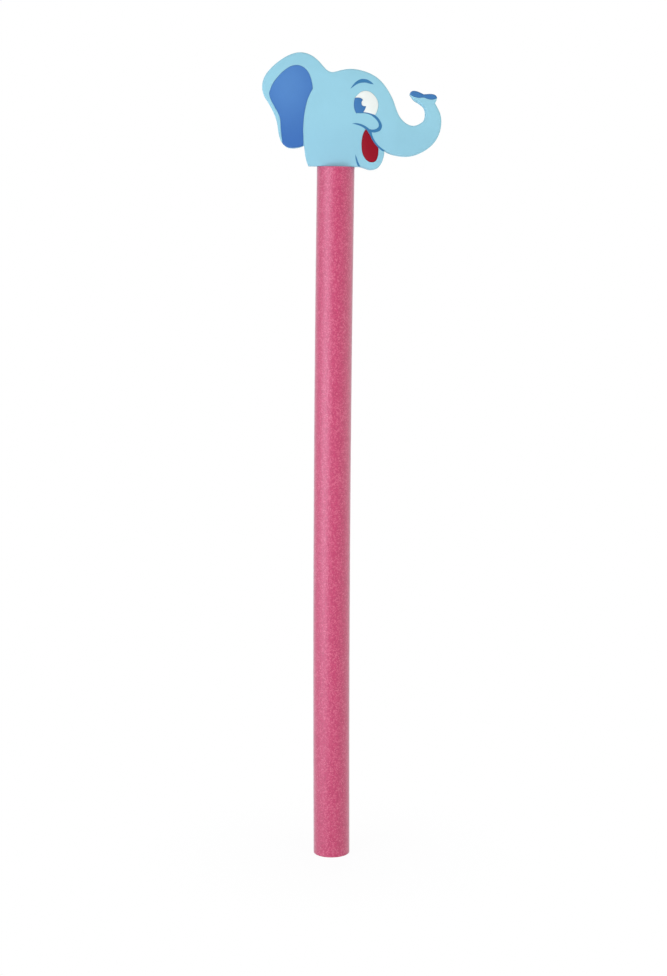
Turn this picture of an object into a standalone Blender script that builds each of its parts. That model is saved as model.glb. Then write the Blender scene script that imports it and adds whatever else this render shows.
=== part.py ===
# Pool noodle with a flat foam elephant head, in metres.
# +Z runs up the noodle, the front of the head faces -Y and its trunk points to +X.
# The head is laminated: a core sheet between two face sheets with coloured pieces let into them.
import math

import bpy
import bmesh
from mathutils import Matrix, Vector
from mathutils.geometry import interpolate_bezier

# Noodle
noodle_length = 1.221
noodle_diameter = 0.065
bore_diameter = 0.020
lean_angle = math.radians(1.0)        # the top leans this far towards the trunk
noodle_sides = 40
bore_sides = 24
bow_rings = 10                        # stretches along the bowed part

# Peg that joins noodle and head, half in each
peg_length = 0.160
peg_end_round = 0.0015

# Head
head_width = 0.306                    # ear's outer edge to the trunk's outer bend
head_height = 0.191                   # just below the neck line to the top of the ear
face_thickness = 0.009
neck_axis_share = 0.415               # the noodle's axis, across the head from the ear side
neck_line_share = 0.005               # the noodle's top, up the head
curve_steps = 3                       # points from one knot of a smooth edge to the next

# Clearances
glue_gap = 0.0003                     # between glued faces
window_gap = 0.0003                   # round a coloured piece in its window
cut_overrun = 0.002                   # how far a cutter passes the face it cuts

# Worked out from the sizes above
peg_diameter = bore_diameter - 2 * glue_gap
core_thickness = peg_diameter + 2 * glue_gap
peg_depth = peg_length / 2
bow_length = noodle_length - peg_depth          # the peg keeps the last stretch straight
head_half = core_thickness / 2 + glue_gap + face_thickness

# Edges of the head as shares of its width from the ear side and of its height.
# Each run is smooth, and one run meets the next at a corner.
nape_shares = ((0.261, neck_line_share), (0.252, 0.041), (0.244, 0.095), (0.236, 0.187))
ear_to_lip_shares = (
    (0.236, 0.187), (0.209, 0.170), (0.172, 0.162), (0.140, 0.170), (0.110, 0.212), (0.095, 0.279),
    (0.084, 0.383), (0.064, 0.469), (0.028, 0.572), (0.011, 0.614), (0.000, 0.690), (0.010, 0.770),
    (0.037, 0.836), (0.085, 0.909), (0.140, 0.966), (0.188, 0.993), (0.228, 0.995), (0.271, 0.973),
    (0.309, 0.929), (0.341, 0.875), (0.362, 0.843), (0.386, 0.829), (0.410, 0.835), (0.448, 0.851),
    (0.498, 0.859), (0.555, 0.845), (0.612, 0.811), (0.660, 0.756), (0.699, 0.678), (0.727, 0.598),
    (0.745, 0.522), (0.764, 0.455), (0.788, 0.409), (0.817, 0.379), (0.848, 0.370), (0.878, 0.388),
    (0.903, 0.422), (0.911, 0.478), (0.902, 0.535), (0.874, 0.572), (0.846, 0.600), (0.832, 0.628),
    (0.823, 0.649), (0.825, 0.665), (0.840, 0.676), (0.865, 0.670), (0.898, 0.647))
far_lip_shares = (
    (0.898, 0.647), (0.915, 0.649), (0.938, 0.651), (0.961, 0.643), (0.972, 0.620), (0.969, 0.595),
    (0.962, 0.570))
trunk_bend_shares = (
    (0.962, 0.570), (0.977, 0.527), (0.991, 0.482), (0.998, 0.430), (0.998, 0.378), (0.989, 0.306),
    (0.965, 0.232), (0.929, 0.174), (0.874, 0.125), (0.829, 0.105), (0.791, 0.102), (0.741, 0.113),
    (0.711, 0.127), (0.684, 0.150))
chin_shares = (
    (0.684, 0.150), (0.684, 0.116), (0.679, 0.078), (0.668, 0.033), (0.647, -0.005), (0.608, -0.021),
    (0.576, -0.008), (0.548, neck_line_share))
head_runs = (nape_shares, ear_to_lip_shares, far_lip_shares, trunk_bend_shares, chin_shares)

# The ear panel and the trunk's tip run past the head's edge, which trims them flush.
ear_inner_shares = (
    (0.233, 0.130), (0.233, 0.184), (0.232, 0.255), (0.230, 0.325), (0.233, 0.418), (0.239, 0.491),
    (0.252, 0.582), (0.267, 0.638), (0.281, 0.682))
ear_outer_shares = (
    (0.281, 0.682), (0.276, 0.737), (0.262, 0.804), (0.244, 0.846), (0.217, 0.876), (0.188, 0.884),
    (0.151, 0.867), (0.111, 0.820), (0.082, 0.769), (0.058, 0.714), (0.044, 0.660), (0.041, 0.631),
    (0.049, 0.583), (0.070, 0.522), (0.091, 0.464), (0.103, 0.408), (0.107, 0.322), (0.112, 0.255),
    (0.116, 0.205), (0.118, 0.130))
ear_runs = (ear_inner_shares, ear_outer_shares)
tip_lower_shares = (
    (0.800, 0.664), (0.825, 0.642), (0.845, 0.624), (0.872, 0.616), (0.898, 0.619), (0.918, 0.608),
    (0.939, 0.602), (0.958, 0.606), (0.990, 0.630))
tip_outside_shares = ((0.990, 0.720), (0.800, 0.720))
tip_runs = (tip_lower_shares, tip_outside_shares)
mouth_runs = ((
    (0.580, 0.339), (0.566, 0.297), (0.559, 0.248), (0.557, 0.200), (0.561, 0.136), (0.574, 0.086),
    (0.596, 0.052), (0.616, 0.044), (0.637, 0.057), (0.648, 0.097), (0.651, 0.139), (0.650, 0.172),
    (0.636, 0.207), (0.617, 0.238), (0.604, 0.278), (0.580, 0.339)),)

# The eye is cut off below by the cheek. The iris fills its left end and has a round
# catch-light notched into it.
eye_lid_shares = (
    (0.630, 0.461), (0.638, 0.487), (0.644, 0.517), (0.646, 0.548), (0.643, 0.578), (0.635, 0.606),
    (0.624, 0.629), (0.612, 0.648), (0.598, 0.661), (0.582, 0.668), (0.565, 0.667), (0.549, 0.659),
    (0.536, 0.641), (0.522, 0.619), (0.516, 0.605))
eye_left_shares = (
    (0.516, 0.605), (0.512, 0.575), (0.511, 0.548), (0.513, 0.518), (0.518, 0.494), (0.524, 0.473))
cheek_shares = (
    (0.524, 0.473), (0.547, 0.478), (0.569, 0.481), (0.592, 0.476), (0.613, 0.466), (0.630, 0.461))
eye_runs = (eye_lid_shares, eye_left_shares, cheek_shares)
iris_top_shares = (
    (0.516, 0.605), (0.524, 0.607), (0.534, 0.608), (0.543, 0.607), (0.552, 0.602), (0.561, 0.589))
iris_right_shares = ((0.578, 0.535), (0.575, 0.517), (0.569, 0.497), (0.563, 0.481))
cheek_under_iris_shares = ((0.563, 0.481), (0.547, 0.478), (0.524, 0.473))
iris_runs = (eye_left_shares[::-1], iris_top_shares, iris_right_shares, cheek_under_iris_shares)
notch_centre_shares = (0.571, 0.564)
notch_radius_shares = (0.0188, 0.0301)
notch_span = (123, 290)               # degrees, from the iris's top to its right edge
arc_stride = 7                        # degrees from one point of an arc to the next

# Colours and finish: base colour, roughness
finishes = {
    "pink_foam": ((0.56, 0.06, 0.16), 0.50),
    "peg_foam": ((0.75, 0.75, 0.72), 0.80),
    "sky_foam": ((0.30, 0.62, 0.75), 0.55),
    "blue_foam": ((0.06, 0.19, 0.50), 0.55),
    "white_foam": ((0.86, 0.88, 0.86), 0.55),
    "red_foam": ((0.29, 0.01, 0.02), 0.55),
}


def clear_scene():
    for obj in list(bpy.data.objects):
        bpy.data.objects.remove(obj, do_unlink=True)


def make_material(name):
    colour, roughness = finishes[name]
    material = bpy.data.materials.new(name)
    material.use_nodes = True
    shader = material.node_tree.nodes["Principled BSDF"]
    shader.inputs["Base Color"].default_value = (*colour, 1.0)
    shader.inputs["Roughness"].default_value = roughness
    shader.inputs["Metallic"].default_value = 0.0
    material.diffuse_color = (*colour, 1.0)
    return material


def add_object(name, bm, material=None, parent=None):
    bmesh.ops.recalc_face_normals(bm, faces=bm.faces)
    mesh = bpy.data.meshes.new(name)
    bm.to_mesh(mesh)
    bm.free()
    obj = bpy.data.objects.new(name, mesh)
    bpy.context.collection.objects.link(obj)
    obj.parent = parent
    if material:
        mesh.materials.append(material)
    return obj


def make_cutter(name, bm, parent):
    cutter = add_object(name, bm, parent=parent)
    cutter.hide_render = True
    cutter.display_type = "WIRE"
    return cutter


def combine(obj, other, operation):
    modifier = obj.modifiers.new(operation.lower() + "_" + other.name, "BOOLEAN")
    modifier.operation = operation
    modifier.solver = "EXACT"
    modifier.object = other


def shade_round(obj):
    obj.data.shade_smooth()
    obj.data.set_sharp_from_angle(angle=math.radians(40))


# A smooth edge through its knots, without the last one. Each knot's handles run level with
# the knots on either side, as a curve tool's automatic handles do.
def smooth_run(knots):
    knots = [Vector(knot) for knot in knots]
    ends = [knots[0]] + knots + [knots[-1]]
    levels = [(ends[i + 2] - ends[i]).normalized() for i in range(len(knots))]
    points = []
    for i in range(len(knots) - 1):
        reach = (knots[i + 1] - knots[i]).length / 3
        handles = (knots[i] + levels[i] * reach, knots[i + 1] - levels[i + 1] * reach)
        stretch = interpolate_bezier(knots[i], handles[0], handles[1], knots[i + 1], curve_steps + 1)
        points.extend(stretch[:-1])
    return points


def place(shares):
    return Vector(((shares[0] - neck_axis_share) * head_width, (shares[1] - neck_line_share) * head_height))


# A closed edge from its runs: a run of two knots stays straight.
def closed_edge(runs):
    points = []
    for run in runs:
        knots = [place(shares) for shares in run]
        points.extend(smooth_run(knots) if len(knots) > 2 else knots[:-1])
        last = knots[-1]
        if (last - place(runs[0][0])).length > glue_gap and run is runs[-1]:
            points.append(last)
    return points


# The round notch, without its last point.
def notch_arc():
    points = []
    start, end = notch_span
    steps = math.ceil(abs(end - start) / arc_stride)
    for i in range(steps):
        angle = math.radians(start + (end - start) * i / steps)
        shares = (notch_centre_shares[0] + notch_radius_shares[0] * math.cos(angle),
                  notch_centre_shares[1] + notch_radius_shares[1] * math.sin(angle))
        points.append(place(shares))
    return points


def iris_edge():
    left, top, right, under = [smooth_run([place(shares) for shares in run]) for run in iris_runs]
    return left + top + notch_arc() + right + under


# The same edge moved outwards by a distance, each point square to its neighbours.
def grown(edge, distance):
    count = len(edge)
    area = sum(edge[i].x * edge[(i + 1) % count].y - edge[(i + 1) % count].x * edge[i].y for i in range(count))
    side = 1 if area > 0 else -1
    points = []
    for i in range(count):
        before = (edge[i] - edge[i - 1]).normalized()
        after = (edge[(i + 1) % count] - edge[i]).normalized()
        along = (before + after).normalized()
        outwards = Vector((along.y, -along.x)) * side
        corner = max(along.dot(before), 0.5)
        points.append(edge[i] + outwards * distance / corner)
    return points


# A plate of the given edge between two depths, standing in the head's plane.
def plate(edge, near, far):
    bm = bmesh.new()
    face = bm.faces.new([bm.verts.new((point.x, near, point.y)) for point in edge])
    moved = bmesh.ops.extrude_face_region(bm, geom=[face])["geom"]
    bmesh.ops.translate(bm, vec=(0, far - near, 0), verts=[v for v in moved if isinstance(v, bmesh.types.BMVert)])
    return bm


def append_plate(bm, edge, near, far):
    extra = plate(edge, near, far)
    mesh = bpy.data.meshes.new("extra_plate")
    extra.to_mesh(mesh)
    extra.free()
    bm.from_mesh(mesh)
    bpy.data.meshes.remove(mesh)


# Where a point of the straight tube goes once the tube is bowed.
def on_bow(point):
    along = min(point.z, bow_length)
    lean = lean_angle * along / bow_length
    centre = Vector((math.tan(lean_angle) * along ** 2 / (2 * bow_length), 0, along))
    past = max(point.z - bow_length, 0)
    return centre + Matrix.Rotation(lean, 3, "Y") @ Vector((point.x, point.y, past))


def bow_tube(bm):
    for vert in bm.verts:
        vert.co = on_bow(vert.co)


def make_noodle(base, material):
    bm = bmesh.new()
    outer = bmesh.ops.create_circle(bm, segments=noodle_sides, radius=noodle_diameter / 2)["verts"]
    inner = bmesh.ops.create_circle(bm, segments=bore_sides, radius=bore_diameter / 2)["verts"]
    rims = {edge for vert in outer + inner for edge in vert.link_edges}
    faces = bmesh.ops.bridge_loops(bm, edges=list(rims))["faces"]
    moved = bmesh.ops.extrude_face_region(bm, geom=faces)["geom"]
    verts = [item for item in moved if isinstance(item, bmesh.types.BMVert)]
    bmesh.ops.translate(bm, vec=(0, 0, noodle_length), verts=verts)
    for ring in range(bow_rings):
        height = bow_length * (ring + 1) / bow_rings
        everything = bm.verts[:] + bm.edges[:] + bm.faces[:]
        bmesh.ops.bisect_plane(bm, geom=everything, plane_co=(0, 0, height), plane_no=(0, 0, 1))
    bow_tube(bm)
    noodle = add_object("noodle_tube", bm, material, base)
    shade_round(noodle)


def make_peg(neck, material):
    bm = bmesh.new()
    bmesh.ops.create_cone(bm, cap_ends=True, segments=bore_sides, radius1=peg_diameter / 2,
                          radius2=peg_diameter / 2, depth=peg_length)
    ends = [edge for edge in bm.edges if abs(edge.verts[0].co.z - edge.verts[1].co.z) < glue_gap]
    bmesh.ops.bevel(bm, geom=ends, offset=peg_end_round, segments=2, profile=0.5, affect="EDGES")
    peg = add_object("neck_peg", bm, material, neck)
    shade_round(peg)


def make_core(neck, material):
    core = add_object("core_sheet", plate(head_edge, -core_thickness / 2, core_thickness / 2), material, neck)
    half = peg_diameter / 2 + glue_gap
    top = peg_depth + glue_gap
    slot_edge = [Vector(point) for point in ((-half, -cut_overrun), (half, -cut_overrun), (half, top), (-half, top))]
    deep = core_thickness / 2 + cut_overrun
    slot = make_cutter("peg_slot_cutter", plate(slot_edge, -deep, deep), neck)
    combine(core, slot, "DIFFERENCE")


def make_face(side_name, side, neck, materials):
    near = side * (core_thickness / 2 + glue_gap)
    far = side * head_half
    sheet = add_object(side_name + "_sheet", plate(head_edge, near, far), materials["sky_foam"], neck)
    low = near - side * glue_gap / 2
    high = far + side * cut_overrun
    windows = bmesh.new()
    for edge in (ear_edge, tip_edge, eye_outline, mouth_edge):
        append_plate(windows, grown(edge, window_gap), low, high)
    combine(sheet, make_cutter(side_name + "_window_cutter", windows, neck), "DIFFERENCE")

    trim = make_cutter(side_name + "_trim_cutter", plate(head_edge, low, high), neck)
    for name, edge in (("ear_panel", ear_edge), ("trunk_tip", tip_edge)):
        piece = add_object(side_name + "_" + name, plate(edge, near, far), materials["blue_foam"], neck)
        combine(piece, trim, "INTERSECT")

    white = add_object(side_name + "_eye_white", plate(eye_outline, near, far), materials["white_foam"], neck)
    iris_cutter = make_cutter(side_name + "_iris_cutter", plate(grown(iris_outline, window_gap), low, high), neck)
    combine(white, iris_cutter, "DIFFERENCE")
    add_object(side_name + "_iris", plate(iris_outline, near, far), materials["blue_foam"], neck)
    add_object(side_name + "_mouth", plate(mouth_edge, near, far), materials["red_foam"], neck)


# The object stands with its base's middle, and the middle of its whole breadth, on the origin.
def find_base():
    top = on_bow(Vector((0, 0, noodle_length + glue_gap)))
    turn = Matrix.Rotation(lean_angle, 3, "Y")
    across = [(top + turn @ Vector((point.x, 0, point.y))).x for point in head_edge]
    return -(min(across) + max(across)) / 2, top


clear_scene()
materials = {name: make_material(name) for name in finishes}
head_edge = closed_edge(head_runs)
ear_edge = closed_edge(ear_runs)
tip_edge = closed_edge(tip_runs)
mouth_edge = closed_edge(mouth_runs)
eye_outline = closed_edge(eye_runs)
iris_outline = iris_edge()

base_x, neck_point = find_base()
base = bpy.data.objects.new("noodle_base", None)
base.location.x = base_x
bpy.context.collection.objects.link(base)
neck = bpy.data.objects.new("neck_line", None)
neck.parent = base
neck.location = neck_point
neck.rotation_euler.y = lean_angle
bpy.context.collection.objects.link(neck)

make_noodle(base, materials["pink_foam"])
make_peg(neck, materials["peg_foam"])
make_core(neck, materials["sky_foam"])
for side_name, side in (("front", -1), ("back", 1)):
    make_face(side_name, side, neck, materials)
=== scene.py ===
import math

import bmesh
import bpy
from mathutils import Matrix, Vector, noise
from mathutils.geometry import interpolate_bezier


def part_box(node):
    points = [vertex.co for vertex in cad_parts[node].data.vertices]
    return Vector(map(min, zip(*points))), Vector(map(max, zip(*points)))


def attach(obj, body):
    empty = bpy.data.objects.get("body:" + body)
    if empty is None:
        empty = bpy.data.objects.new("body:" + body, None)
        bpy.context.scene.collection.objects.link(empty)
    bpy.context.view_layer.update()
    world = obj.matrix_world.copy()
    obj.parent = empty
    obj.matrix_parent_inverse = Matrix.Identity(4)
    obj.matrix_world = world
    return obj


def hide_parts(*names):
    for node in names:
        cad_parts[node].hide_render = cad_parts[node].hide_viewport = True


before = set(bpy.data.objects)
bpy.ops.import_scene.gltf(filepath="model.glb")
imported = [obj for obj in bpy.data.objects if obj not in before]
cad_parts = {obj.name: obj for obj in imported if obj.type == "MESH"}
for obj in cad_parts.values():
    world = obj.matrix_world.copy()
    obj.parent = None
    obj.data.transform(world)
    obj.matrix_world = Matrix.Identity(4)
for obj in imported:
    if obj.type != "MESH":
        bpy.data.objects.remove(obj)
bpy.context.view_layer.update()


# Small helpers for every piece

sharpAngle = math.radians(35)       # an edge that turns more than this stays crisp
samePlace = 1e-6                    # two heights or depths closer than this are one


def meshFrom(name, bm):
    mesh = bpy.data.meshes.new(name)
    bm.to_mesh(mesh)
    bm.free()
    return mesh


def addObject(name, data):
    item = bpy.data.objects.new(name, data)
    bpy.context.collection.objects.link(item)
    return item


def rideRoot(name, bm, materials, replaced=()):
    bmesh.ops.recalc_face_normals(bm, faces=bm.faces)
    mesh = meshFrom(name, bm)
    for material in materials:
        mesh.materials.append(material)
    piece = addObject(name, mesh)
    mesh.shade_smooth()
    mesh.set_sharp_from_angle(angle=sharpAngle)
    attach(piece, "root")
    if replaced:
        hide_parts(*replaced)
    print(name, len(mesh.polygons), "faces")


def movedVerts(geometry):
    return [item for item in geometry if isinstance(item, bmesh.types.BMVert)]


# Nodes for the foam finishes

foamLook = {
    "domeReach": 0.75,          # each cell's dome falls to nothing this far out, in cells
    "wallWidth": 0.10,          # in cells
    "gritScale": 2.3,           # the grit over the cells is this much finer
    "gritDetail": 3.0,
    "gritRoughness": 0.6,
    "toneShares": (0.5, 0.5),   # of a cell's own tone and of the grit
    "heightShares": (0.75, 0.25),   # of the dome and of the grit
    "patchDetail": 4.0,
    "patchRoughness": 0.55,
    "patchSpan": (0.3, 0.7),    # of the noise, from the first tone to the last
    "waveDetail": 1.0,
    "waveRoughness": 0.4,
    "glossSpan": (0.2, 0.8),    # of the tones, from the smoothest to the roughest
    "sheenRoughness": 0.4,
}


def putNode(tree, kind, values=None, **settings):
    node = tree.nodes.new(kind)
    for key, value in settings.items():
        setattr(node, key, value)
    for key, value in (values or {}).items():
        node.inputs[key].default_value = value
    return node


def sumOf(tree, terms):
    # adds up (output, weight) pairs
    total = None
    for output, weight in terms:
        part = putNode(tree, "ShaderNodeMath", {1: weight}, operation="MULTIPLY")
        tree.links.new(output, part.inputs[0])
        if total is None:
            total = part.outputs[0]
            continue
        added = putNode(tree, "ShaderNodeMath", operation="ADD")
        tree.links.new(total, added.inputs[0])
        tree.links.new(part.outputs[0], added.inputs[1])
        total = added.outputs[0]
    return total


# Turns a value within a span into one between two others
def remapped(tree, span, values, **settings):
    limits = {"From Min": span[0], "From Max": span[1], "To Min": values[0], "To Max": values[1]}
    return putNode(tree, "ShaderNodeMapRange", limits, **settings)


def newGroup(name, inputs, outputs):
    group = bpy.data.node_groups.new(name, "ShaderNodeTree")
    for socketName, kind in inputs:
        group.interface.new_socket(socketName, in_out="INPUT", socket_type=kind)
    for socketName in outputs:
        group.interface.new_socket(socketName, in_out="OUTPUT", socket_type="NodeSocketFloat")
    return group, group.nodes.new("NodeGroupInput"), group.nodes.new("NodeGroupOutput")


# Closed cells just under the skin of a foam: a tone and a height for each cell, and the walls
# between them
def buildFoamCells():
    group, given, result = newGroup(
        "foamCells", (("Vector", "NodeSocketVector"), ("Cells per Metre", "NodeSocketFloat")),
        ("Tone", "Height", "Walls"))
    links = group.links
    cells = putNode(group, "ShaderNodeTexVoronoi", feature="F1")
    walls = putNode(group, "ShaderNodeTexVoronoi", feature="DISTANCE_TO_EDGE")
    grit = putNode(group, "ShaderNodeTexNoise",
                   {"Detail": foamLook["gritDetail"], "Roughness": foamLook["gritRoughness"]})
    finer = putNode(group, "ShaderNodeMath", {1: foamLook["gritScale"]}, operation="MULTIPLY")
    links.new(given.outputs["Cells per Metre"], finer.inputs[0])
    for node in (cells, walls, grit):
        links.new(given.outputs["Vector"], node.inputs["Vector"])
    for node in (cells, walls):
        links.new(given.outputs["Cells per Metre"], node.inputs["Scale"])
    links.new(finer.outputs[0], grit.inputs["Scale"])

    dome = remapped(group, (0.0, foamLook["domeReach"]), (1.0, 0.0), interpolation_type="SMOOTHSTEP")
    links.new(cells.outputs["Distance"], dome.inputs["Value"])
    chance = putNode(group, "ShaderNodeSeparateColor")
    links.new(cells.outputs["Color"], chance.inputs["Color"])
    wallMask = remapped(group, (0.0, foamLook["wallWidth"]), (1.0, 0.0))
    links.new(walls.outputs["Distance"], wallMask.inputs["Value"])

    cellTone, gritTone = foamLook["toneShares"]
    domeHeight, gritHeight = foamLook["heightShares"]
    tone = sumOf(group, ((chance.outputs[0], cellTone), (grit.outputs[0], gritTone)))
    height = sumOf(group, ((dome.outputs["Result"], domeHeight), (grit.outputs[0], gritHeight)))
    links.new(tone, result.inputs["Tone"])
    links.new(height, result.inputs["Height"])
    links.new(wallMask.outputs["Result"], result.inputs["Walls"])
    return group


# Slow, uneven patches of slightly lighter or darker foam, some 5 cm across, and soft waves in the
# surface
def buildSoftPatches():
    group, given, result = newGroup(
        "softPatches", (("Vector", "NodeSocketVector"), ("Patches per Metre", "NodeSocketFloat")),
        ("Mask", "Waves"))
    links = group.links
    patches = putNode(group, "ShaderNodeTexNoise",
                      {"Detail": foamLook["patchDetail"], "Roughness": foamLook["patchRoughness"]})
    waves = putNode(group, "ShaderNodeTexNoise",
                    {"Detail": foamLook["waveDetail"], "Roughness": foamLook["waveRoughness"]})
    links.new(given.outputs["Vector"], patches.inputs["Vector"])
    links.new(given.outputs["Vector"], waves.inputs["Vector"])
    links.new(given.outputs["Patches per Metre"], patches.inputs["Scale"])
    links.new(given.outputs["Patches per Metre"], waves.inputs["Scale"])
    spread = remapped(group, foamLook["patchSpan"], (0.0, 1.0))
    links.new(patches.outputs[0], spread.inputs["Value"])
    links.new(spread.outputs["Result"], result.inputs["Mask"])
    links.new(waves.outputs[0], result.inputs["Waves"])
    return group


# A tone that deepens away from one place; on the head's sky blue it is painted shade. Stretch says how
# much each direction counts.
def buildToneFade():
    group, given, result = newGroup(
        "toneFade",
        (("Vector", "NodeSocketVector"), ("Centre", "NodeSocketVector"), ("Stretch", "NodeSocketVector"),
         ("Near", "NodeSocketFloat"), ("Far", "NodeSocketFloat")),
        ("Mask",))
    links = group.links
    away = putNode(group, "ShaderNodeVectorMath", operation="SUBTRACT")
    links.new(given.outputs["Vector"], away.inputs[0])
    links.new(given.outputs["Centre"], away.inputs[1])
    stretched = putNode(group, "ShaderNodeVectorMath", operation="MULTIPLY")
    links.new(away.outputs["Vector"], stretched.inputs[0])
    links.new(given.outputs["Stretch"], stretched.inputs[1])
    reach = putNode(group, "ShaderNodeVectorMath", operation="LENGTH")
    links.new(stretched.outputs["Vector"], reach.inputs[0])
    fade = putNode(group, "ShaderNodeMapRange", interpolation_type="SMOOTHSTEP")
    links.new(reach.outputs["Value"], fade.inputs["Value"])
    links.new(given.outputs["Near"], fade.inputs["From Min"])
    links.new(given.outputs["Far"], fade.inputs["From Max"])
    links.new(fade.outputs["Result"], result.inputs["Mask"])
    return group


foamCells = buildFoamCells()
softPatches = buildSoftPatches()
toneFade = buildToneFade()


# A colour multiplied by a tint, as far as the mask says
def tinted(tree, colour, mask, tint):
    mix = putNode(tree, "ShaderNodeMix", data_type="RGBA", blend_type="MULTIPLY")
    mix.inputs[7].default_value = (*tint, 1)
    tree.links.new(mask, mix.inputs[0])
    tree.links.new(colour, mix.inputs[6])
    return mix.outputs[2]


# One foam finish. Tones run from the darkest cells to the lightest.
def foamMaterial(name, finish):
    material = bpy.data.materials.new(name)
    material.use_nodes = True
    tree = material.node_tree
    shader = tree.nodes["Principled BSDF"]
    links = tree.links
    place = putNode(tree, "ShaderNodeTexCoord")
    cells = putNode(tree, "ShaderNodeGroup", node_tree=foamCells)
    cells.inputs["Cells per Metre"].default_value = 1 / finish["cellSize"]
    patches = putNode(tree, "ShaderNodeGroup", node_tree=softPatches)
    patches.inputs["Patches per Metre"].default_value = 1 / finish["patchSize"]
    for node in (cells, patches):
        links.new(place.outputs["Object"], node.inputs["Vector"])

    blend = sumOf(tree, ((cells.outputs["Tone"], finish["cellShare"]),
                         (patches.outputs["Mask"], 1 - finish["cellShare"])))
    ramp = putNode(tree, "ShaderNodeValToRGB")
    stops = ramp.color_ramp.elements
    stops[0].position, stops[1].position = finish["toneSpan"]
    stops[0].color = (*finish["tones"][0], 1)
    stops[1].color = (*finish["tones"][-1], 1)
    middle = stops.new(sum(finish["toneSpan"]) / 2)
    middle.color = (*finish["tones"][1], 1)
    links.new(blend, ramp.inputs["Fac"])

    walls = sumOf(tree, ((cells.outputs["Walls"], finish["wallShare"]),))
    colour = tinted(tree, ramp.outputs["Color"], walls, finish["wallTint"])
    if "fade" in finish:
        fade = putNode(tree, "ShaderNodeGroup", finish["fade"], node_tree=toneFade)
        links.new(place.outputs["Object"], fade.inputs["Vector"])
        colour = tinted(tree, colour, fade.outputs["Mask"], finish["fadeTint"])
    links.new(colour, shader.inputs["Base Color"])

    gloss = remapped(tree, foamLook["glossSpan"], finish["roughness"])
    links.new(blend, gloss.inputs["Value"])
    links.new(gloss.outputs["Result"], shader.inputs["Roughness"])

    broad = putNode(tree, "ShaderNodeBump", {"Strength": 1.0, "Distance": finish["waveHeight"]})
    links.new(patches.outputs["Waves"], broad.inputs["Height"])
    fine = putNode(tree, "ShaderNodeBump", {"Strength": 1.0, "Distance": finish["cellHeight"]})
    links.new(cells.outputs["Height"], fine.inputs["Height"])
    links.new(broad.outputs["Normal"], fine.inputs["Normal"])
    links.new(fine.outputs["Normal"], shader.inputs["Normal"])

    shader.inputs["Specular IOR Level"].default_value = finish["specular"]
    shader.inputs["Sheen Weight"].default_value = finish["sheen"]
    shader.inputs["Sheen Roughness"].default_value = foamLook["sheenRoughness"]
    material.diffuse_color = (*finish["tones"][1], 1)
    return material


# The darkest, plain and lightest tone of a colour
def tonesOf(colour, spread):
    return [tuple(channel * scale for channel in colour) for scale in (1 - spread, 1, 1 + spread)]


# A smooth foam sheet, apart from what is changed in it. Sizes and heights are in metres.
def foamFinish(tones, **changes):
    finish = {
        "tones": tones,
        "toneSpan": (0.25, 0.75),
        "cellSize": 0.0007,
        "cellShare": 0.5,           # of the tone; the slow patches have the rest
        "cellHeight": 0.00003,
        "wallTint": (0.9, 0.9, 0.9),
        "wallShare": 0.0,
        "patchSize": 0.060,
        "waveHeight": 0.0010,
        "roughness": (0.50, 0.60),
        "specular": 0.15,
        "sheen": 0.0,
    }
    finish.update(changes)
    return finish


# Deep pink with paler cells, which show as fine whitish specks: partly the foam's own cell tone and
# partly painted glints of the skin's sheen
pinkSkin = foamMaterial("pinkFoamSkin", foamFinish(
    ((0.408, 0.002, 0.079), (0.478, 0.009, 0.100), (0.612, 0.116, 0.206)), toneSpan=(0.27, 0.77),
    cellSize=0.0019, cellShare=0.95, cellHeight=0.00027, wallTint=(0.75, 0.45, 0.55), wallShare=0.30,
    patchSize=0.045, waveHeight=0.0006, roughness=(0.38, 0.51), specular=1.0, sheen=0.9))
pinkCut = foamMaterial("pinkFoamCut", foamFinish(
    tonesOf((0.82, 0.33, 0.43), 0.15), cellSize=0.0016, cellShare=0.9, cellHeight=0.00060,
    wallTint=(1.0, 0.8, 0.85), wallShare=0.6, roughness=(0.65, 0.80), specular=0.2))
# The head's sky blue deepens a little towards the neck: painted shade, standing for light falling from
# above and the shade just over the noodle's top.
skySheet = foamMaterial("skyFoamSheet", foamFinish(
    tonesOf((0.289, 0.576, 0.660), 0.02), fadeTint=(0.945, 0.95, 0.965),
    fade={"Centre": (0, 0, 1.410), "Stretch": (0, 0, 1), "Near": 0.100, "Far": 0.150}))
skyCut = foamMaterial("skyFoamCut", foamFinish(
    tonesOf((0.33, 0.64, 0.73), 0.06), cellSize=0.0009, cellShare=0.8, cellHeight=0.00012,
    wallTint=(0.85, 0.92, 0.95), wallShare=0.5, roughness=(0.62, 0.75), specular=0.35))
# The ear panel is lightest near its top and deepens towards its foot.
earSheet = foamMaterial("earFoamSheet", foamFinish(
    tonesOf((0.081, 0.225, 0.500), 0.03), fadeTint=(0.56, 0.66, 0.82),
    fade={"Centre": (-0.110, 0, 1.360), "Stretch": (1.4, 0, 1), "Near": 0.0, "Far": 0.108}))
blueSheet = foamMaterial("blueFoamSheet", foamFinish(tonesOf((0.052, 0.182, 0.408), 0.04)))
whiteSheet = foamMaterial("whiteFoamSheet", foamFinish(tonesOf((0.79, 0.84, 0.77), 0.015)))
redSheet = foamMaterial("redFoamSheet", foamFinish(tonesOf((0.262, 0.003, 0.014), 0.06)))
inkBlue = foamMaterial("printedBlue", foamFinish(
    tonesOf((0.042, 0.182, 0.358), 0.05), cellHeight=0.00002, roughness=(0.42, 0.50)))
pegFoam = foamMaterial("pegFoam", foamFinish(
    tonesOf((0.75, 0.75, 0.72), 0.08), cellSize=0.0015, cellShare=0.8, cellHeight=0.00020,
    roughness=(0.7, 0.8)))
print("materials ready")


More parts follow.
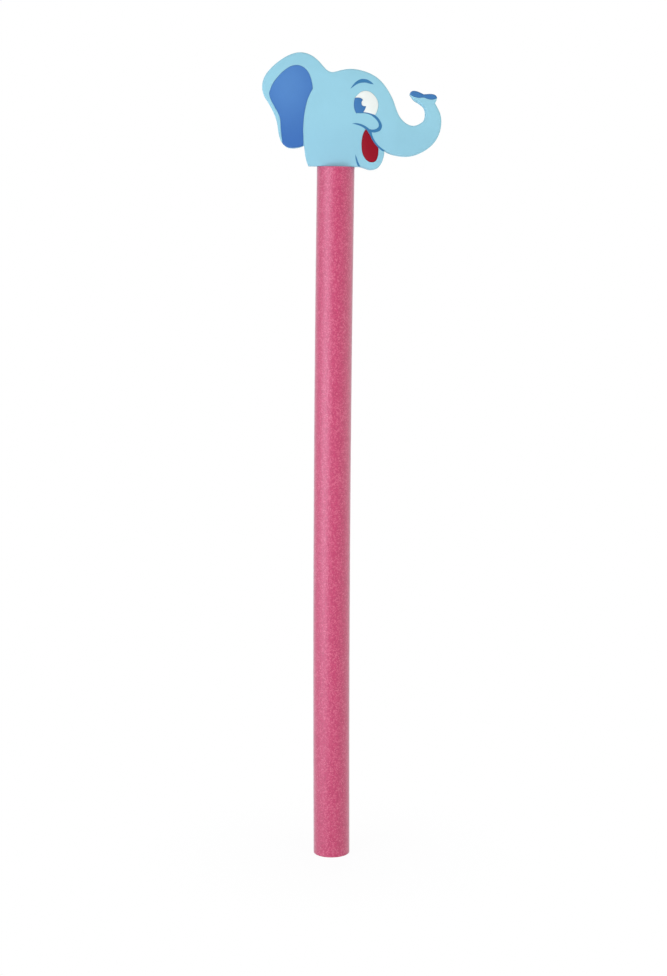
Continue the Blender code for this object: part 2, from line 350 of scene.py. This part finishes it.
# The noodle: one tube with its bore, cut square at both ends, bowed a little towards the trunk
noodle = {
    "length": 1.221,
    "diameter": 0.065,
    "bore": 0.020,
    "lean": math.radians(1.0),
    "pegDepth": 0.080,          # the peg keeps this much of the top straight
    "sides": 128,
    "rings": 480,
    "boreRings": 40,
    "rimAngle": 1,              # radians: edges that turn more than this are the tube's four rims
    "rimRound": 0.0010,
    "rimSegments": 3,
    "rimInset": 0.0008,
    "endFacing": 0.99,          # faces that look up or down this squarely are the cut ends
    "lumpSize": 0.007,          # the skin's soft lumps, and how far they dip
    "lumpDip": 0.00012,
    "waveSize": 0.060,
    "waveDip": 0.00015,
    "waveSquash": 0.5,          # makes the waves twice as long up the tube
    "jointGap": 0.0003,         # between the noodle and the head
}
bowLength = noodle["length"] - noodle["pegDepth"]
noodleBase = Vector((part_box("noodle_tube")[0].x + noodle["diameter"] / 2, 0, 0))


def onBow(point):
    along = min(point.z, bowLength)
    lean = noodle["lean"] * along / bowLength
    centre = Vector((math.tan(noodle["lean"]) * along ** 2 / (2 * bowLength), 0, along))
    past = max(point.z - bowLength, 0)
    return noodleBase + centre + Matrix.Rotation(lean, 3, "Y") @ Vector((point.x, point.y, past))


# From 0 to 1
def softNoise(point):
    return noise.noise(point) * 0.5 + 0.5


def skinDip(point):
    # always inwards, so the tube stays inside its true diameter
    lump = softNoise(point / noodle["lumpSize"])
    squashed = Vector((point.x, point.y, point.z * noodle["waveSquash"]))
    wave = softNoise(squashed / noodle["waveSize"])
    return noodle["lumpDip"] * lump + noodle["waveDip"] * wave


def makeNoodle():
    radius = noodle["diameter"] / 2
    boreRadius = noodle["bore"] / 2
    bm = bmesh.new()
    for rimRadius in (radius, boreRadius):
        bmesh.ops.create_circle(bm, segments=noodle["sides"], radius=rimRadius)
    bottom = bmesh.ops.bridge_loops(bm, edges=bm.edges[:])["faces"]
    moved = movedVerts(bmesh.ops.extrude_face_region(bm, geom=bottom)["geom"])
    bmesh.ops.translate(bm, vec=(0, 0, noodle["length"]), verts=moved)

    corners = [edge for edge in bm.edges
               if len(edge.link_faces) == 2 and edge.calc_face_angle(0) > noodle["rimAngle"]]
    bmesh.ops.bevel(bm, geom=corners, offset=noodle["rimRound"], segments=noodle["rimSegments"],
                    profile=0.5, affect="EDGES", material=-1)
    ends = [face for face in bm.faces if abs(face.normal.z) > noodle["endFacing"]]
    bmesh.ops.inset_region(bm, faces=ends, thickness=noodle["rimInset"], use_even_offset=True)
    bm.normal_update()
    for face in bm.faces:
        face.material_index = 1 if abs(face.normal.z) > noodle["endFacing"] else 0

    middle = (radius + boreRadius) / 2
    upright = [edge for edge in bm.edges if edge.calc_length() > noodle["length"] / 2]
    for isOuter, cuts in ((True, noodle["rings"]), (False, noodle["boreRings"])):
        wall = [edge for edge in upright
                if edge.is_valid and (edge.verts[0].co.xy.length > middle) == isOuter]
        bmesh.ops.subdivide_edges(bm, edges=wall, cuts=cuts)
    for vert in bm.verts:
        if vert.co.xy.length > middle:
            outwards = Vector((vert.co.x, vert.co.y, 0)).normalized()
            vert.co -= outwards * skinDip(vert.co)
    for vert in bm.verts:
        vert.co = onBow(vert.co)
    rideRoot("noodle_foam", bm, (pinkSkin, pinkCut), ("noodle_tube",))


makeNoodle()
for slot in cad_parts["neck_peg"].material_slots:
    slot.material = pegFoam


# The head's edges, as shares of its width from the ear side and of its height
head = {
    "width": 0.306,
    "height": 0.191,
    "neckAxisShare": 0.415,     # the noodle's axis, across the head from the ear side
    "neckLineShare": 0.005,     # the noodle's top, up the head
    "coreThickness": 0.020,
    "faceThickness": 0.009,
    "glueLine": 0.0003,
    "windowGap": 0.0003,        # round a coloured piece in its window
    "pointSpacing": 0.0015,     # along a smooth edge
    "rimRound": 0.0025,         # the edge of each face
    "rimSegments": 4,
    "plyRound": 0.0003,         # the edges where two sheets meet
    "plySegments": 1,
    "pieceRound": 0.0004,       # the edge of each coloured piece that isn't trimmed
    "pieceSegments": 2,
    "cornerLimit": 0.5,         # keeps a grown edge from running out at a sharp corner
    "cutFacing": 0.4,           # faces that look less than this to the front or back are cut sides
    "cutOverrun": 0.002,        # how far a cutter passes what it cuts
    "inkHeight": 0.00008,
    "inkStep": 0.00002,         # each printed line is laid over the one before
}
headNear = head["coreThickness"] / 2 + head["glueLine"]
headFar = headNear + head["faceThickness"]
neckPoint = onBow(Vector((0, 0, noodle["length"] + noodle["jointGap"])))
neckTurn = Matrix.Translation(neckPoint) @ Matrix.Rotation(noodle["lean"], 4, "Y")

napeShares = ((0.261, head["neckLineShare"]), (0.252, 0.041), (0.244, 0.095), (0.236, 0.187))
earToLipShares = (
    (0.236, 0.187), (0.209, 0.170), (0.172, 0.162), (0.140, 0.170), (0.110, 0.212), (0.095, 0.279),
    (0.084, 0.383), (0.064, 0.469), (0.028, 0.572), (0.011, 0.614), (0.000, 0.690), (0.010, 0.770),
    (0.037, 0.836), (0.085, 0.909), (0.140, 0.966), (0.188, 0.993), (0.228, 0.995), (0.271, 0.973),
    (0.309, 0.929), (0.341, 0.875), (0.362, 0.843), (0.386, 0.829), (0.410, 0.835), (0.448, 0.851),
    (0.498, 0.859), (0.555, 0.845), (0.612, 0.811), (0.660, 0.756), (0.699, 0.678), (0.727, 0.598),
    (0.745, 0.522), (0.764, 0.455), (0.788, 0.409), (0.817, 0.379), (0.848, 0.370), (0.878, 0.388),
    (0.903, 0.422), (0.911, 0.478), (0.902, 0.535), (0.874, 0.572), (0.846, 0.600), (0.832, 0.628),
    (0.823, 0.649), (0.825, 0.665), (0.840, 0.676), (0.865, 0.670), (0.898, 0.647))
farLipShares = (
    (0.898, 0.647), (0.915, 0.649), (0.938, 0.651), (0.961, 0.643), (0.972, 0.620), (0.969, 0.595),
    (0.962, 0.570))
trunkBendShares = (
    (0.962, 0.570), (0.977, 0.527), (0.991, 0.482), (0.998, 0.430), (0.998, 0.378), (0.989, 0.306),
    (0.965, 0.232), (0.929, 0.174), (0.874, 0.125), (0.829, 0.105), (0.791, 0.102), (0.741, 0.113),
    (0.711, 0.127), (0.684, 0.150))
chinShares = (
    (0.684, 0.150), (0.684, 0.116), (0.679, 0.078), (0.668, 0.033), (0.647, -0.005), (0.608, -0.021),
    (0.576, -0.008), (0.548, head["neckLineShare"]))
headRuns = (napeShares, earToLipShares, farLipShares, trunkBendShares, chinShares)

# The ear panel and the trunk's tip run past the head's edge, which trims them flush.
earInnerShares = (
    (0.233, 0.130), (0.233, 0.184), (0.232, 0.255), (0.230, 0.325), (0.233, 0.418), (0.239, 0.491),
    (0.252, 0.582), (0.267, 0.638), (0.281, 0.682))
earOuterShares = (
    (0.281, 0.682), (0.276, 0.737), (0.262, 0.804), (0.244, 0.846), (0.217, 0.876), (0.188, 0.884),
    (0.151, 0.867), (0.111, 0.820), (0.082, 0.769), (0.058, 0.714), (0.044, 0.660), (0.041, 0.631),
    (0.049, 0.583), (0.070, 0.522), (0.091, 0.464), (0.103, 0.408), (0.107, 0.322), (0.112, 0.255),
    (0.116, 0.205), (0.118, 0.130))
tipLowerShares = (
    (0.800, 0.664), (0.825, 0.642), (0.845, 0.624), (0.872, 0.616), (0.898, 0.619), (0.918, 0.608),
    (0.939, 0.602), (0.958, 0.606), (0.990, 0.630))
tipOutsideShares = ((0.990, 0.720), (0.800, 0.720))
mouthShares = (
    (0.580, 0.339), (0.566, 0.297), (0.559, 0.248), (0.557, 0.200), (0.561, 0.136), (0.574, 0.086),
    (0.596, 0.052), (0.616, 0.044), (0.637, 0.057), (0.648, 0.097), (0.651, 0.139), (0.650, 0.172),
    (0.636, 0.207), (0.617, 0.238), (0.604, 0.278), (0.580, 0.339))

# The eye is cut off below by the cheek. The iris fills its left end and has a round
# catch-light notched into it.
eyeLidShares = (
    (0.630, 0.461), (0.638, 0.487), (0.644, 0.517), (0.646, 0.548), (0.643, 0.578), (0.635, 0.606),
    (0.624, 0.629), (0.612, 0.648), (0.598, 0.661), (0.582, 0.668), (0.565, 0.667), (0.549, 0.659),
    (0.536, 0.641), (0.522, 0.619), (0.516, 0.605))
eyeLeftShares = (
    (0.516, 0.605), (0.512, 0.575), (0.511, 0.548), (0.513, 0.518), (0.518, 0.494), (0.524, 0.473))
cheekShares = (
    (0.524, 0.473), (0.547, 0.478), (0.569, 0.481), (0.592, 0.476), (0.613, 0.466), (0.630, 0.461))
irisTopShares = (
    (0.516, 0.605), (0.524, 0.607), (0.534, 0.608), (0.543, 0.607), (0.552, 0.602), (0.561, 0.589))
irisRightShares = ((0.578, 0.535), (0.575, 0.517), (0.569, 0.497), (0.563, 0.481))
cheekUnderIrisShares = ((0.563, 0.481), (0.547, 0.478), (0.524, 0.473))
notch = {
    "centreShares": (0.571, 0.564),
    "radiusShares": (0.0188, 0.0301),
    "span": (123, 290),         # degrees, from the iris's top to its right edge
    "steps": 42,
}

# Printed lines: each one's upper edge from tip to tip, then its lower edge back again
lineShares = {
    "brow": (
        ((0.490, 0.684), (0.498, 0.705), (0.510, 0.730), (0.523, 0.750), (0.537, 0.764), (0.552, 0.772),
         (0.567, 0.772), (0.582, 0.768), (0.596, 0.757), (0.609, 0.743), (0.619, 0.726)),
        ((0.619, 0.726), (0.604, 0.729), (0.589, 0.735), (0.573, 0.740), (0.556, 0.739), (0.539, 0.734),
         (0.526, 0.725), (0.514, 0.713), (0.503, 0.699), (0.490, 0.684))),
    "cheek": (
        ((0.522, 0.474), (0.546, 0.479), (0.568, 0.482), (0.590, 0.477), (0.611, 0.469), (0.629, 0.457),
         (0.645, 0.437), (0.657, 0.412), (0.666, 0.385), (0.669, 0.364), (0.666, 0.341), (0.658, 0.322),
         (0.643, 0.311), (0.626, 0.305), (0.611, 0.309), (0.599, 0.317)),
        ((0.599, 0.317), (0.600, 0.334), (0.612, 0.331), (0.627, 0.333), (0.640, 0.341), (0.649, 0.355),
         (0.651, 0.372), (0.647, 0.394), (0.637, 0.417), (0.623, 0.438), (0.606, 0.457), (0.587, 0.468),
         (0.568, 0.473), (0.546, 0.472), (0.522, 0.474))),
    "smile": (
        ((0.502, 0.381), (0.520, 0.386), (0.543, 0.382), (0.563, 0.372), (0.580, 0.358), (0.595, 0.341),
         (0.609, 0.323), (0.613, 0.305), (0.615, 0.285), (0.622, 0.258), (0.631, 0.232), (0.643, 0.207),
         (0.657, 0.184), (0.672, 0.165), (0.684, 0.149)),
        ((0.684, 0.149), (0.679, 0.142), (0.666, 0.152), (0.651, 0.173), (0.638, 0.194), (0.625, 0.219),
         (0.615, 0.247), (0.606, 0.274), (0.597, 0.302), (0.587, 0.323), (0.574, 0.338), (0.558, 0.354),
         (0.540, 0.366), (0.520, 0.375), (0.502, 0.381))),
    "crease": (
        ((0.524, 0.113), (0.532, 0.077), (0.539, 0.048), (0.546, 0.024), (0.552, 0.006)),
        ((0.552, 0.006), (0.541, 0.006), (0.533, 0.027), (0.528, 0.053), (0.524, 0.083), (0.524, 0.113))),
}


def placeShares(shares):
    return Vector(((shares[0] - head["neckAxisShare"]) * head["width"],
                   (shares[1] - head["neckLineShare"]) * head["height"]))


# A smooth edge through its knots, without the last one, with a point every so often
def smoothRun(runShares):
    knots = [placeShares(shares) for shares in runShares]
    ends = [knots[0]] + knots + [knots[-1]]
    levels = [(ends[i + 2] - ends[i]).normalized() for i in range(len(knots))]
    points = []
    for i in range(len(knots) - 1):
        gap = (knots[i + 1] - knots[i]).length
        steps = max(2, round(gap / head["pointSpacing"]))
        handles = (knots[i] + levels[i] * gap / 3, knots[i + 1] - levels[i + 1] * gap / 3)
        points.extend(interpolate_bezier(knots[i], handles[0], handles[1], knots[i + 1], steps + 1)[:-1])
    return points


# The round notch, without its last point
def notchArc():
    points = []
    start, end = notch["span"]
    for i in range(notch["steps"]):
        angle = math.radians(start + (end - start) * i / notch["steps"])
        shares = (notch["centreShares"][0] + notch["radiusShares"][0] * math.cos(angle),
                  notch["centreShares"][1] + notch["radiusShares"][1] * math.sin(angle))
        points.append(placeShares(shares))
    return points


# The whole outline of the head, from the neck's ear side round to its trunk side
def headEdge():
    points = []
    for run in headRuns:
        points.extend(smoothRun(run))
    return points + [placeShares(headRuns[-1][-1])]


def tipEdge():
    corners = (tipLowerShares[-1],) + tipOutsideShares
    return smoothRun(tipLowerShares) + [placeShares(shares) for shares in corners]


def eyeEdge():
    return smoothRun(eyeLidShares) + smoothRun(eyeLeftShares) + smoothRun(cheekShares)


def irisEdge():
    top = smoothRun(eyeLeftShares[::-1]) + smoothRun(irisTopShares)
    return top + notchArc() + smoothRun(irisRightShares) + smoothRun(cheekUnderIrisShares)


# The same edge moved outwards by a distance, each point square to its neighbours
def grown(edge, distance):
    following = edge[1:] + edge[:1]
    area = sum(here.x * after.y - after.x * here.y for here, after in zip(edge, following))
    side = 1 if area > 0 else -1
    points = []
    for i, here in enumerate(edge):
        before = (here - edge[i - 1]).normalized()
        after = (following[i] - here).normalized()
        along = (before + after).normalized()
        outwards = Vector((along.y, -along.x)) * side
        corner = max(along.dot(before), head["cornerLimit"])
        points.append(here + outwards * distance / corner)
    return points


# A plate of the given edge between two depths. Its edges at either depth can be rounded, except
# along the neck line, where the head stands flat on the noodle.
def plate(edge, near, far, nearRound=0.0, farRound=0.0, segments=1):
    bm = bmesh.new()
    face = bm.faces.new([bm.verts.new((point.x, near, point.y)) for point in edge])
    moved = movedVerts(bmesh.ops.extrude_face_region(bm, geom=[face])["geom"])
    bmesh.ops.translate(bm, vec=(0, far - near, 0), verts=moved)
    for depth, width in ((near, nearRound), (far, farRound)):
        if width:
            rim = [item for item in bm.edges
                   if all(abs(vert.co.y - depth) < samePlace for vert in item.verts)
                   and any(abs(vert.co.z) > samePlace for vert in item.verts)]
            bmesh.ops.bevel(bm, geom=rim, offset=width, segments=segments, profile=0.5,
                            affect="EDGES", material=-1)
    bmesh.ops.recalc_face_normals(bm, faces=bm.faces)
    return bm


def joined(parts):
    bm = bmesh.new()
    for part in parts:
        mesh = meshFrom("joining", part)
        bm.from_mesh(mesh)
        bpy.data.meshes.remove(mesh)
    return bm


# One solid cut or trimmed by another, worked out at once
def carved(bm, cutter, operation):
    part = addObject("carvedPart", meshFrom("carvedPart", bm))
    tool = addObject("carvingTool", meshFrom("carvingTool", cutter))
    modifier = part.modifiers.new("carve", "BOOLEAN")
    modifier.operation = operation
    modifier.solver = "EXACT"
    modifier.object = tool
    bpy.context.view_layer.update()
    shaped = bmesh.new()
    shaped.from_object(part, bpy.context.evaluated_depsgraph_get())
    for item in (part, tool):
        mesh = item.data
        bpy.data.objects.remove(item, do_unlink=True)
        bpy.data.meshes.remove(mesh)
    return shaped


# Sides that a blade has cut take the second material.
def markCutSides(bm):
    bm.normal_update()
    for face in bm.faces:
        face.material_index = 1 if abs(face.normal.y) < head["cutFacing"] else 0


def setOnNeck(bm):
    bmesh.ops.transform(bm, matrix=neckTurn, verts=bm.verts)


headOutline = headEdge()
earOutline = smoothRun(earInnerShares) + smoothRun(earOuterShares) + [placeShares(earOuterShares[-1])]
tipOutline = tipEdge()
eyeOutline = eyeEdge()
irisOutline = irisEdge()
mouthOutline = smoothRun(mouthShares)


# The middle sheet, with a slot for the peg
def makeCore():
    half = head["coreThickness"] / 2
    bm = plate(headOutline, -half, half, head["plyRound"], head["plyRound"], head["plySegments"])
    slotHalf = noodle["bore"] / 2
    top = noodle["pegDepth"] + head["glueLine"]
    bottom = -head["cutOverrun"]
    corners = ((-slotHalf, bottom), (slotHalf, bottom), (slotHalf, top), (-slotHalf, top))
    slotEdge = [Vector(corner) for corner in corners]
    deep = half + head["cutOverrun"]
    bm = carved(bm, plate(slotEdge, -deep, deep), "DIFFERENCE")
    markCutSides(bm)
    setOnNeck(bm)
    rideRoot("core_foam_sheet", bm, (skySheet, skyCut), ("core_sheet",))


# A face sheet before its windows are cut
def roundedHead(side):
    return plate(headOutline, side * headNear, side * headFar,
                 head["plyRound"], head["rimRound"], head["rimSegments"])


# A coloured piece the full thickness of a face sheet, rounded on its outer edge
def inlay(edge, side):
    return plate(edge, side * headNear, side * headFar, 0, head["pieceRound"], head["pieceSegments"])


# One side of the head: its sheet with the windows, the pieces let into them, and the printed lines
def makeFace(sideName, side):
    low = side * (headNear - head["glueLine"] / 2)
    high = side * (headFar + head["cutOverrun"])
    gap = head["windowGap"]

    windows = joined([plate(grown(edge, gap), low, high)
                      for edge in (earOutline, tipOutline, eyeOutline, mouthOutline)])
    sheet = carved(roundedHead(side), windows, "DIFFERENCE")
    markCutSides(sheet)
    setOnNeck(sheet)
    rideRoot(sideName + "_face_sheet", sheet, (skySheet, skyCut), (sideName + "_sheet",))

    for pieceName, node, edge, material in (
            ("ear_inlay", "ear_panel", earOutline, earSheet),
            ("trunk_tip_inlay", "trunk_tip", tipOutline, blueSheet)):
        trimmed = carved(plate(edge, low, high), roundedHead(side), "INTERSECT")
        setOnNeck(trimmed)
        rideRoot(sideName + "_" + pieceName, trimmed, (material,),
                 (sideName + "_" + node,))

    white = carved(inlay(eyeOutline, side), plate(grown(irisOutline, gap), low, high), "DIFFERENCE")
    setOnNeck(white)
    rideRoot(sideName + "_eye_inlay", white, (whiteSheet,), (sideName + "_eye_white",))
    for pieceName, node, edge, material, slot in (
            ("iris_inlay", "iris", irisOutline, blueSheet, "blue_foam"),
            ("mouth_inlay", "mouth", mouthOutline, redSheet, "red_foam")):
        piece = inlay(edge, side)
        setOnNeck(piece)
        rideRoot(sideName + "_" + pieceName, piece, (material,), (sideName + "_" + node,))

    far = side * headFar
    inked = []
    for order, (upper, lower) in enumerate(lineShares.values()):
        rise = side * (head["inkHeight"] + head["inkStep"] * order)
        inked.append(plate(smoothRun(upper) + smoothRun(lower), far - rise, far + rise))
    lines = joined(inked)
    setOnNeck(lines)
    rideRoot(sideName + "_printed_lines", lines, (inkBlue,))


makeCore()
for sideName, side in (("front", -1), ("back", 1)):
    makeFace(sideName, side)


# Camera at the photograph's angle: a long lens a little below the head, tipped down
shot = {
    "lens": 68.556,
    "sensor": 36,
    "besideBase": 0.005693,
    "distance": 3.2365,
    "height": 1.1189,
    "pitch": math.radians(82.0),
    "roll": -0.0033,
}
cameraData = bpy.data.cameras.new("studioCamera")
cameraData.lens = shot["lens"]
cameraData.sensor_width = shot["sensor"]
camera = addObject("studioCamera", cameraData)
shotPlace = (noodleBase.x + shot["besideBase"], -shot["distance"], shot["height"])
camera.matrix_world = (Matrix.Translation(shotPlace)
                       @ Matrix.Rotation(shot["pitch"], 4, "X")
                       @ Matrix.Rotation(shot["roll"], 4, "Z"))
bpy.context.scene.camera = camera


# A plain white studio. The floor and the sky look white to the eye and in gloss, and light the
# foam softly.
studio = {
    "floorSize": 40.0,
    "floorColour": (0.86, 0.86, 0.86, 1),
    "shadowShare": 0.05,        # of the floor's own shading, close to the noodle
    "shadowReach": 0.4,
    "skyLight": 0.42,
    "lamps": (
        # name, place, height it is aimed at, width, height, watts, colour, shown in gloss
        ("leftHigh", (-1.52, -1.395, 1.80), 1.80, 1.5, 0.8, 9.2, (0.97, 0.95, 1.12), True),
        ("leftMiddle", (-1.52, -1.395, 1.00), 1.00, 1.5, 0.7, 9.3, (0.97, 0.95, 1.12), True),
        ("leftLow", (-1.52, -1.395, 0.32), 0.32, 1.5, 0.6, 13.6, (0.97, 0.95, 1.12), True),
        ("rightFill", (2.20, -2.00, 1.05), 1.05, 1.4, 2.0, 28.8, (1.0, 1.0, 1.0), False),
        ("rightRim", (2.20, 0.40, 1.00), 1.00, 1.6, 2.0, 6.0, (1.0, 1.0, 1.0), True),
        ("overhead", (0.00, -0.30, 3.20), 1.40, 1.8, 1.8, 7.5, (1.0, 1.0, 1.0), False),
        ("backFill", (0.00, 2.60, 1.20), 1.20, 2.0, 2.0, 35.0, (0.97, 0.95, 1.12), False),
    ),
}


# Is this ray one that sees the background: from the eye, a gloss or a see-through surface
def seenDirectly(tree):
    path = putNode(tree, "ShaderNodeLightPath")
    glossy = putNode(tree, "ShaderNodeMath", operation="MAXIMUM")
    either = putNode(tree, "ShaderNodeMath", operation="MAXIMUM")
    tree.links.new(path.outputs["Is Camera Ray"], glossy.inputs[0])
    tree.links.new(path.outputs["Is Glossy Ray"], glossy.inputs[1])
    tree.links.new(glossy.outputs[0], either.inputs[0])
    tree.links.new(path.outputs["Is Transmission Ray"], either.inputs[1])
    return either.outputs[0]


def makeFloor():
    bm = bmesh.new()
    bmesh.ops.create_grid(bm, x_segments=1, y_segments=1, size=studio["floorSize"] / 2)
    floor = addObject("studioFloor", meshFrom("studioFloor", bm))
    material = bpy.data.materials.new("floorPaper")
    material.use_nodes = True
    tree = material.node_tree
    links = tree.links
    tree.nodes.remove(tree.nodes["Principled BSDF"])
    paper = putNode(tree, "ShaderNodeBsdfDiffuse", {"Color": studio["floorColour"]})
    glow = putNode(tree, "ShaderNodeEmission", {"Strength": 1.0})
    place = putNode(tree, "ShaderNodeTexCoord")
    centred = putNode(tree, "ShaderNodeVectorMath", {1: noodleBase}, operation="SUBTRACT")
    links.new(place.outputs["Object"], centred.inputs[0])
    away = putNode(tree, "ShaderNodeVectorMath", operation="LENGTH")
    links.new(centred.outputs["Vector"], away.inputs[0])
    fade = remapped(tree, (0.0, studio["shadowReach"]), (1 - studio["shadowShare"], 1.0),
                    interpolation_type="SMOOTHSTEP")
    links.new(away.outputs["Value"], fade.inputs["Value"])
    glowing = putNode(tree, "ShaderNodeMath", operation="MULTIPLY")
    links.new(fade.outputs["Result"], glowing.inputs[0])
    links.new(seenDirectly(tree), glowing.inputs[1])
    mixed = putNode(tree, "ShaderNodeMixShader")
    links.new(glowing.outputs[0], mixed.inputs[0])
    links.new(paper.outputs[0], mixed.inputs[1])
    links.new(glow.outputs[0], mixed.inputs[2])
    links.new(mixed.outputs[0], tree.nodes["Material Output"].inputs["Surface"])
    floor.data.materials.append(material)


def makeSky():
    world = bpy.data.worlds.new("studioSky")
    world.use_nodes = True
    bpy.context.scene.world = world
    tree = world.node_tree
    background = tree.nodes["Background"]
    background.inputs["Color"].default_value = (1, 1, 1, 1)
    strength = remapped(tree, (0.0, 1.0), (studio["skyLight"], 1.0))
    tree.links.new(seenDirectly(tree), strength.inputs["Value"])
    tree.links.new(strength.outputs["Result"], background.inputs["Strength"])


def makeLamps():
    for name, place, aimHeight, width, height, watts, colour, inGloss in studio["lamps"]:
        lampData = bpy.data.lights.new(name, "AREA")
        lampData.shape = "RECTANGLE"
        lampData.size = width
        lampData.size_y = height
        lampData.energy = watts
        lampData.color = colour
        lamp = addObject(name, lampData)
        lamp.visible_glossy = inGloss
        lamp.location = place
        towards = Vector((noodleBase.x, 0, aimHeight)) - Vector(place)
        lamp.rotation_euler = towards.to_track_quat("-Z", "Y").to_euler()


makeFloor()
makeSky()
makeLamps()
bpy.context.scene.view_settings.view_transform = "Standard"
print("studio ready")
